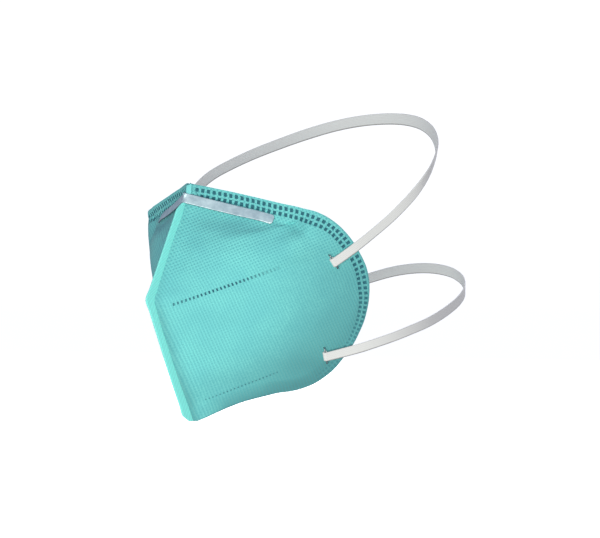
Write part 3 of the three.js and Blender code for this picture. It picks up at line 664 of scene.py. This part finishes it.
# ---- The nose clip ----
def nose_clip(material):
    """Seen from the side the strip runs straight from the ridge to its end. It follows the face, rides over
    the flange near the ridge, comes down evenly to its ends, and has very shallow dimples from bending.
    Close to the middle plane it runs straight on and turns sharply round the ridge."""
    ridge_y = np.interp(-CLIP_RIDGE_Z, -SEAM[:, 1], SEAM[:, 0])
    share = np.arange(CLIP["places"], 0, -1)[:, None] / CLIP["places"]
    ridge, end = np.array([ridge_y, CLIP_RIDGE_Z]), np.array(CLIP_END)
    u, v = place_on_face(ridge + (end - ridge) * share)
    at, normal = outer_face(u, v), face_normal(u, v)
    ride = CLIP["lift"] + CLIP["thick"] / 2 + (FLANGE_LAID + GAP) * np.minimum(CLIP_RIDE * (1 - share), 1)
    middles = at + normal * ride
    slope = (middles[-2] - middles[-1]) / (middles[-2] - middles[-1])[0]
    turns = middles[-1] - slope * (middles[-1, 0] - np.array([[CLIP_TURN], [0.0]]))
    up = np.array([0.0, 0.0, 1.0])
    acrosses = unit(up - normal * normal[:, 2:])
    acrosses = np.vstack([acrosses, acrosses[-1], up])
    middles = np.vstack([middles, turns])
    middles, acrosses, widths = both_sides(middles, acrosses, np.full(len(middles), CLIP["width"]))
    middle, across, out, _ = strip_path(middles, acrosses, widths, steps=30)
    run, radius = run_along(middle), CLIP["corner"]
    quarter = np.radians(np.linspace(0, 90, 10))
    ends = radius * (1 - np.cos(quarter))
    between = np.linspace(radius, run[-1] - radius, CLIP["steps"])[1:-1]
    stops = np.concatenate([ends, between, run[-1] - ends[::-1]])
    middle, across, out = (between_rows(stops, run, rows) for rows in (middle, across, out))
    short = np.maximum(1 - np.minimum(stops, run[-1] - stops) / radius, 0)
    width = CLIP["width"] - 2 * radius * (1 - np.sqrt(1 - short**2))
    outline = strip_outline(width, CLIP["thick"], flat_steps=16, round_steps=5)
    dimples = ripples(stops[:, None], outline[..., 0], CLIP_DIMPLES["size"], CLIP_DIMPLES["seed"])
    outline[..., 1] += dimples * CLIP_DIMPLES["height"]
    points, place = sweep_strip(middle, unit(across), unit(out), outline)
    make_piece("nose_strip", "nose_clip", "nose_aluminium", points, tube_faces(*outline.shape[:2]), material,
               strip=place)


# ---- Headbands and staples ----
def staple_seat(staple, band):
    """A staple's place on the panel, the way the band leaves it, the way from leg to leg, and the normal."""
    u, v = place_on_face(np.array([staple]))
    at, out = outer_face(u, v)[0], face_normal(u, v)[0]
    leaves = band[0, :3] - at
    leaves = unit(leaves - out * (leaves @ out))
    return at, leaves, np.cross(out, leaves), out


def headband(name, staple, band, material):
    """An elastic loop: each end lies under itself, is folded round the staple's crown in half a circle, and
    from there follows the table to the back of the head. Its face leans as the table says. The strip
    attribute holds, as its last value, the distance from the lower edge."""
    at, leaves, across, out = staple_seat(staple, band)
    turn, low = STAPLE["wire"] + FOLD_AIR + BAND / 2, GAP + BAND / 2
    angle = np.radians([-45, 0, 45])
    lap = STAPLE["lap"]
    back = np.concatenate([[lap, lap / 2, 0], -np.cos(angle) * turn, [0, lap / 2]])
    up = np.concatenate([[low] * 3, low + turn + np.sin(angle) * turn, [low + 2 * turn] * 2])
    folded = at + back[:, None] * leaves + up[:, None] * out
    route, lean = band[:, :3], np.radians(band[:, 3:4])
    way = np.vstack([route[1] - route[0], route[2:] - route[:-2], [-1, 0, 0]])
    way = unit(way)
    upright = unit(np.array([0, 0, 1.0]) - way * way[:, 2:])
    upright = upright * np.cos(lean) + np.cross(way, upright) * np.sin(lean)
    acrosses = np.vstack([np.tile(across, (len(folded), 1)), upright])
    acrosses *= np.where(acrosses @ acrosses[-1] < 0, -1, 1)[:, None]
    widths = np.concatenate([np.full(len(folded), band[0, 4]), band[:, 4]])
    controls = both_sides(np.vstack([folded, route]), acrosses, widths)
    middle, across, out, width = strip_path(*controls, steps=14)
    outline = strip_outline(width, BAND, flat_steps=20, round_steps=4, ribs=5, rib_share=0.12)
    points, place = sweep_strip(middle, across, out, outline)
    place[:, 2] = place[:, 1] + np.repeat(width, outline.shape[1]) / 2
    make_piece(f"elastic_{name}", f"{name}_headband", "elastic", points, tube_faces(*outline.shape[:2]),
               material, strip=place)


def staple_wire(name, side, staple, band, material):
    """A round wire: a level crown through the band's fold and a leg down to the cloth on each side."""
    at, leaves, across, out = staple_seat(staple, band)
    crown = GAP + BAND + GAP + STAPLE["wire"]
    half, shoulder, bend = STAPLE["span"] / 2, STAPLE["shoulder"], STAPLE["bend"]
    places = np.array([(1, GAP), (1, crown * bend), (shoulder, crown), (0, crown)])
    places = np.vstack([places, places[-2::-1] * np.array([-1, 1])])
    line, _, _ = smooth_line(at + places[:, :1] * half * across + places[:, 1:] * out, steps=10)
    way = unit(np.gradient(line, axis=0))
    turn = np.linspace(0, 2 * np.pi, STAPLE["around"], endpoint=False)[None, :, None]
    beside = np.cross(way, leaves)[:, None]
    points = line[:, None] + STAPLE["wire"] * (np.cos(turn) * leaves + np.sin(turn) * beside)
    faces = tube_faces(*points.shape[:2])
    points = points.reshape(-1, 3) * np.array([1 if side == "left" else -1, 1, 1])
    node = f"staple_{name}_{side}"
    make_piece(f"wire_{node}", node, "staple_wire", points, faces, material)


# ---- Materials ----
def new_material(name, **shader_values):
    """A material with its node tree and its shader, whose inputs are named in small letters."""
    material = bpy.data.materials.new(name)
    material.use_nodes = True
    tree = material.node_tree
    shader = tree.nodes["Principled BSDF"]
    for key, value in shader_values.items():
        shader.inputs[key.replace("_", " ").title().replace("Ior", "IOR")].default_value = value
    return material, tree, shader


def put(tree, kind, values=None, **settings):
    """A node with its settings, and each input either linked to a socket or set to a value."""
    node = tree.nodes.new(kind)
    for key, value in settings.items():
        setattr(node, key, value)
    for key, value in (values or {}).items():
        if isinstance(value, bpy.types.NodeSocket):
            tree.links.new(value, node.inputs[key])
        else:
            node.inputs[key].default_value = value
    return node


def maths(tree, operation, a, b=0.0, c=0.0):
    return put(tree, "ShaderNodeMath", {0: a, 1: b, 2: c}, operation=operation).outputs[0]


def weighed(tree, a, share_a, b, share_b):
    """a * share_a + b * share_b."""
    return maths(tree, "MULTIPLY_ADD", a, share_a, maths(tree, "MULTIPLY", b, share_b))


def blend(tree, share, a, b):
    """Colour a where share is 0 and colour b where it is 1."""
    node = put(tree, "ShaderNodeMix", {0: share, 6: a, 7: b}, data_type="RGBA")
    return node.outputs[2]


def ramp(tree, value, low, high):
    """0 below low and 1 above high, on a smooth step. With low above high it falls instead."""
    first, last = (0.0, 1.0) if low < high else (1.0, 0.0)
    low, high = min(low, high), max(low, high)
    node = put(tree, "ShaderNodeMapRange", {"Value": value, "From Min": low, "From Max": high,
               "To Min": first, "To Max": last}, interpolation_type="SMOOTHSTEP")
    return node.outputs["Result"]


def attribute(tree, name):
    return put(tree, "ShaderNodeAttribute", attribute_name=name).outputs["Vector"]


def turned(tree, vector, origin, degrees):
    """x and y of a place measured from an origin, along and across a way at that many degrees."""
    mapping = put(tree, "ShaderNodeMapping", {"Vector": vector, "Location": (*origin, 0.0),
                  "Rotation": (0, 0, np.radians(degrees))}, vector_type="TEXTURE")
    split = put(tree, "ShaderNodeSeparateXYZ", {"Vector": mapping.outputs["Vector"]})
    return mapping.outputs["Vector"], split.outputs["X"], split.outputs["Y"]


def noise(tree, vector, name):
    """The named noise at a place."""
    scale, detail, rough = NOISE[name]
    node = put(tree, "ShaderNodeTexNoise", {"Vector": vector, "Scale": scale, "Detail": detail,
               "Roughness": rough})
    return node.outputs["Fac"]


def press(tree, shader, height, name):
    """Bends the shader's normal as if the surface had this height."""
    strength, distance = BUMPS[name]
    bump = put(tree, "ShaderNodeBump", {"Height": height, "Strength": strength, "Distance": distance * MM})
    tree.links.new(bump.outputs["Normal"], shader.inputs["Normal"])


def repeat_box(tree, x, pitch, half, soft):
    """1 in the middle of every pitch along x, within half of it, and 0 beyond half + soft."""
    inside = maths(tree, "WRAP", x, pitch / 2, -pitch / 2)
    return ramp(tree, maths(tree, "ABSOLUTE", inside), half + soft, half)


def wave(tree, vector, way, pitch, lag=0.0):
    """A sine whose crests lie a pitch apart along a way in degrees, from 0 to 1. lag moves it along."""
    _, x, _ = turned(tree, vector, (0, 0), way)
    turn = maths(tree, "MULTIPLY", maths(tree, "SUBTRACT", x, lag), 2 * np.pi / pitch)
    return maths(tree, "MULTIPLY_ADD", maths(tree, "SINE", turn), 0.5, 0.5)


def shaded_strip_side(tree, strip):
    """1 on the narrow sides of a strip, where the painted shade goes, and 0 on its broad faces."""
    place = put(tree, "ShaderNodeSeparateXYZ", {"Vector": strip})
    return ramp(tree, maths(tree, "ABSOLUTE", place.outputs["Z"]), *SHADED_SIDE_OF_STRIP)


def product(tree, *values):
    """Sockets or numbers multiplied with each other."""
    total = values[0]
    for value in values[1:]:
        total = maths(tree, "MULTIPLY", total, value)
    return total


def weld_line(tree, cut, line):
    """A row of short weld marks from a start place, count of them at a pitch, fading towards its ends."""
    _, x, y = turned(tree, cut, line["start"], line["way"])
    marks = repeat_box(tree, x, line["pitch"], line["long"] / 2, MARK_SOFT)
    beside = ramp(tree, maths(tree, "ABSOLUTE", y), line["wide"] / 2 + MARK_SOFT, line["wide"] / 2)
    reach = line["pitch"] * line["count"]
    begun = maths(tree, "GREATER_THAN", x, -line["pitch"] / 2)
    ended = maths(tree, "LESS_THAN", x, reach - line["pitch"] / 2)
    rise = ramp(tree, x, 0.0, reach * line["clear"][0])
    rise = maths(tree, "MULTIPLY_ADD", rise, 1 - line["first"], line["first"])
    fall = ramp(tree, x, reach, reach * line["clear"][1])
    fall = maths(tree, "MULTIPLY_ADD", fall, 1 - line["last"], line["last"])
    return product(tree, marks, beside, begun, ended, rise, fall, line["strength"])


def cloth_material():
    """Teal nonwoven. Embossed waves make staggered dots on top, which turn into ribs nearly parallel to the
    lower front seam. Weld marks are pressed in and darker. Painted shade darkens it towards the lower rim,
    along the cut edge, under the chin and beside the crease."""
    material, tree, shader = new_material(
        "teal_nonwoven", roughness=0.8, sheen_weight=0.08, sheen_roughness=0.5, specular_ior_level=0.2)
    cut, rim = attribute(tree, "cut"), attribute(tree, "rim")
    place = put(tree, "ShaderNodeSeparateXYZ", {"Vector": cut})
    height = maths(tree, "MULTIPLY_ADD", place.outputs["X"], EMBOSS_CHANGE["tilt"], place.outputs["Y"])
    top = ramp(tree, height, *EMBOSS_CHANGE["heights"])
    held = maths(tree, "MULTIPLY_ADD", top, 1 - EMBOSS["cross_below"], EMBOSS["cross_below"])
    cross = wave(tree, cut, EMBOSS["cross_way"], EMBOSS["cross_pitch"])
    cross = maths(tree, "MULTIPLY_ADD", held, maths(tree, "SUBTRACT", cross, 1.0), 1.0)
    above = maths(tree, "MAXIMUM", maths(tree, "SUBTRACT", place.outputs["Y"], EMBOSS["lean_from"]), 0.0)
    ribs = wave(tree, cut, EMBOSS["way"], EMBOSS["pitch"], maths(tree, "MULTIPLY", above, EMBOSS["lean"]))
    strength = maths(tree, "MULTIPLY_ADD", top, EMBOSS["depth_top"] - EMBOSS["depth_below"],
                     EMBOSS["depth_below"])
    grooves = product(tree, ribs, cross, strength)
    painted_shade = place.outputs["Z"]

    place = put(tree, "ShaderNodeSeparateXYZ", {"Vector": rim})
    column = repeat_box(tree, place.outputs["X"], 1.0, PIT["along"], PIT["soft"])
    rows = [ramp(tree, maths(tree, "ABSOLUTE", maths(tree, "SUBTRACT", place.outputs["Y"], at)),
                 PIT["across"] + PIT["soft"], PIT["across"]) for at in (0, 1)]
    pits = product(tree, column, maths(tree, "ADD", *rows), place.outputs["Z"])
    lines = maths(tree, "ADD", *[weld_line(tree, cut, line) for line in WELD_LINES])
    pressed = maths(tree, "MINIMUM", maths(tree, "ADD", pits, lines), 1.0)

    fibres, clouds = noise(tree, cut, "fibres"), noise(tree, cut, "clouds")
    pale = blend(tree, ramp(tree, clouds, *CLOTH_MIX["clouds"]), TEAL["pale"], TEAL["plain"])
    grain = blend(tree, ramp(tree, fibres, *CLOTH_MIX["grain"]), TEAL["fibre"], pale)
    # Painted shade: darker towards the lower rim, along the cut edge, under the chin and beside the crease.
    grain = blend(tree, painted_shade, grain, TEAL["painted_shade"])
    grooved = blend(tree, maths(tree, "MULTIPLY", grooves, GROOVE_TINT), grain, TEAL["groove"])
    tint = weighed(tree, pits, PIT_TINT, lines, LINE_TINT)
    tree.links.new(blend(tree, tint, grooved, TEAL["pressed"]), shader.inputs["Base Color"])

    relief = weighed(tree, fibres, CLOTH_MIX["fibres"], grooves, CLOTH_MIX["grooves"])
    relief = maths(tree, "MULTIPLY", relief, maths(tree, "SUBTRACT", 1.0, pressed))
    relief = maths(tree, "SUBTRACT", relief, maths(tree, "MULTIPLY", lines, CLOTH_MIX["marks"]))
    press(tree, shader, relief, "cloth")
    return material


def seam_material():
    """The same cloth pressed flat: paler and smoother, with faint slanting stripes left by the welding tool.
    Where it is folded over it has the colour of the panels."""
    material, tree, shader = new_material(
        "pressed_teal", roughness=0.7, sheen_weight=0.05, sheen_roughness=0.5, specular_ior_level=0.25)
    strip = attribute(tree, "strip")
    stripes = wave(tree, strip, **FLANGE_STRIPES)
    fibres = noise(tree, strip, "pressed fibres")
    mixed = weighed(tree, fibres, SEAM_MIX["fibres"], stripes, SEAM_MIX["stripes"])
    colour = blend(tree, ramp(tree, mixed, *SEAM_MIX["colours"]), SEAM_TEAL["dark"], SEAM_TEAL["pale"])
    laid = put(tree, "ShaderNodeSeparateXYZ", {"Vector": attribute(tree, "laid")}).outputs["X"]
    colour = blend(tree, laid, colour, TEAL["plain"])
    tree.links.new(colour, shader.inputs["Base Color"])
    press(tree, shader, mixed, "flange")
    return material


def aluminium_material():
    """Dull rolled aluminium, faintly mottled where it was bent, with fine lines along the strip and painted
    shade on its narrow sides."""
    material, tree, shader = new_material("dull_aluminium", metallic=0.6, roughness=0.5)
    strip = attribute(tree, "strip")
    patches = noise(tree, strip, "patches")
    rolled = put(tree, "ShaderNodeMapping", {"Vector": strip, "Scale": ROLLED})
    lines = noise(tree, rolled.outputs["Vector"], "rolled lines")
    mixed = weighed(tree, lines, CLIP_MIX["lines"], patches, CLIP_MIX["patches"])
    colour = blend(tree, ramp(tree, mixed, *CLIP_MIX["colours"]), ALUMINIUM["dark"], ALUMINIUM["pale"])
    # Painted shade on the narrow sides.
    colour = blend(tree, shaded_strip_side(tree, strip), colour, ALUMINIUM["side"])
    tree.links.new(colour, shader.inputs["Base Color"])
    tree.links.new(maths(tree, "MULTIPLY_ADD", patches, *CLIP_ROUGH), shader.inputs["Roughness"])
    press(tree, shader, mixed, "clip")
    return material


def elastic_material():
    """Light grey knitted elastic: ribs along the band crossed by fine slanting stitches, greyer at the
    edges, with a painted shadow line along the lower edge and a very slight glow that is painted light."""
    # The emission is painted light, a slight glow that lifts the elastic's shaded parts.
    material, tree, shader = new_material(
        "grey_elastic", emission_color=ELASTIC["glow"], emission_strength=1.0, roughness=0.8,
        sheen_weight=0.1, sheen_roughness=0.4, specular_ior_level=0.3)
    strip = attribute(tree, "strip")
    stitches = product(tree, *[wave(tree, strip, **row) for row in STITCHES])
    threads = noise(tree, strip, "threads")
    mixed = weighed(tree, threads, ELASTIC_MIX["threads"], stitches, ELASTIC_MIX["stitches"])
    place = put(tree, "ShaderNodeSeparateXYZ", {"Vector": strip})
    edge = ramp(tree, maths(tree, "ABSOLUTE", place.outputs["Y"]), *GREY_EDGE["between"])
    colour = blend(tree, ramp(tree, mixed, *ELASTIC_MIX["colours"]), ELASTIC["between"], ELASTIC["rib"])
    colour = blend(tree, maths(tree, "MULTIPLY", edge, GREY_EDGE["tint"]), colour, ELASTIC["between"])
    # Painted shadow line along the lower edge.
    colour = blend(tree, ramp(tree, place.outputs["Z"], *LOWER_EDGE_SHADOW), colour, ELASTIC["side"])
    tree.links.new(colour, shader.inputs["Base Color"])
    press(tree, shader, mixed, "elastic")
    return material


def steel_material():
    """Drawn steel wire, slightly uneven in its shine."""
    material, tree, shader = new_material("drawn_steel", metallic=0.9, roughness=0.35)
    place = put(tree, "ShaderNodeTexCoord").outputs["Object"]
    uneven = noise(tree, place, "drawn")
    tree.links.new(blend(tree, uneven, STEEL["dark"], STEEL["pale"]), shader.inputs["Base Color"])
    tree.links.new(maths(tree, "MULTIPLY_ADD", uneven, *STEEL_ROUGH), shader.inputs["Roughness"])
    return material


# ---- Studio ----
def studio_floor():
    """A pale round floor that curves up into a pale wall all round: a profile of radius and height turned
    about the upright axis. It glows a little, so that it stays pale, and lights nothing."""
    floor_z = cad_box[0][2] / MM - FLOOR["below"]
    bend = np.radians(np.linspace(-90, 0, FLOOR["bend_points"]))
    rim_radius = FLOOR["radius"] + FLOOR["bend"]
    radius = np.concatenate([[FLOOR["inner"]], FLOOR["radius"] + FLOOR["bend"] * np.cos(bend), [rim_radius]])
    height = np.concatenate([[0.0], FLOOR["bend"] * (1 + np.sin(bend)), [FLOOR["wall"]]])
    turn = np.linspace(0, 2 * np.pi, FLOOR["around"], endpoint=False)[:, None]
    rings = np.stack([radius * np.cos(turn), radius * np.sin(turn), floor_z + height + 0 * turn], axis=-1)
    around, points = rings.shape[:2]
    i, k = every_cell(around, points - 1)
    a, b = i * points + k, (i + 1) % around * points + k
    mesh = bpy.data.meshes.new("studio_floor")
    mesh.from_pydata(rings.reshape(-1, 3) * MM, [], np.stack([a, b, b + 1, a + 1], axis=1).tolist())
    mesh.shade_smooth()
    material, _, _ = new_material("pale_floor", base_color=(0.8, 0.8, 0.8, 1), roughness=0.9,
                                  emission_color=(1, 1, 1, 1), emission_strength=FLOOR["glow"])
    mesh.materials.append(material)
    floor = bpy.data.objects.new("studio_floor", mesh)
    bpy.context.scene.collection.objects.link(floor)
    for way in ("diffuse", "glossy", "shadow", "transmission"):
        setattr(floor, f"visible_{way}", False)


def soft_light(name, place, size, power, colour):
    """A square lamp that faces the middle of the mask."""
    data = bpy.data.lights.new(name, "AREA")
    data.size, data.energy, data.color = size, power, colour
    lamp = bpy.data.objects.new(name, data)
    lamp.location = place
    lamp.visible_camera = False
    lamp.rotation_euler = (AIM - Vector(place)).to_track_quat("-Z", "Y").to_euler()
    bpy.context.scene.collection.objects.link(lamp)


def studio():
    """A soft sky that is a little different above and below, the lamps, the camera and the floor."""
    scene = bpy.context.scene
    scene.view_settings.view_transform = "Standard"
    world = bpy.data.worlds.new("studio")
    world.use_nodes = True
    tree = world.node_tree
    way = put(tree, "ShaderNodeTexCoord").outputs["Generated"]
    up = put(tree, "ShaderNodeSeparateXYZ", {"Vector": way}).outputs["Z"]
    sky = blend(tree, ramp(tree, up, *SKY["between"]), SKY["below"], SKY["above"])
    tree.links.new(sky, tree.nodes["Background"].inputs["Color"])
    scene.world = world
    for name, lamp in LAMPS.items():
        soft_light(name, **lamp)
    data = bpy.data.cameras.new("camera")
    data.lens, data.sensor_width = CAMERA["lens"], CAMERA["sensor"]
    camera = bpy.data.objects.new("camera", data)
    camera.location = CAMERA["place"]
    azimuth, elevation = np.radians(CAMERA["azimuth"]), np.radians(CAMERA["elevation"])
    level = np.cos(elevation)
    look = Vector((-np.sin(azimuth) * level, np.cos(azimuth) * level, -np.sin(elevation)))
    camera.rotation_euler = look.to_track_quat("-Z", "Y").to_euler()
    scene.collection.objects.link(camera)
    scene.camera = camera
    studio_floor()


# ---- The object ----
studio()
cloth, elastic, steel = cloth_material(), elastic_material(), steel_material()
for side in ("left", "right"):
    panel(side, cloth)
flange(seam_material())
nose_clip(aluminium_material())
for name, band in {"upper": UPPER_BAND, "lower": LOWER_BAND}.items():
    headband(name, STAPLES[name], band, elastic)
    for side in ("left", "right"):
        staple_wire(name, side, STAPLES[name], band, steel)
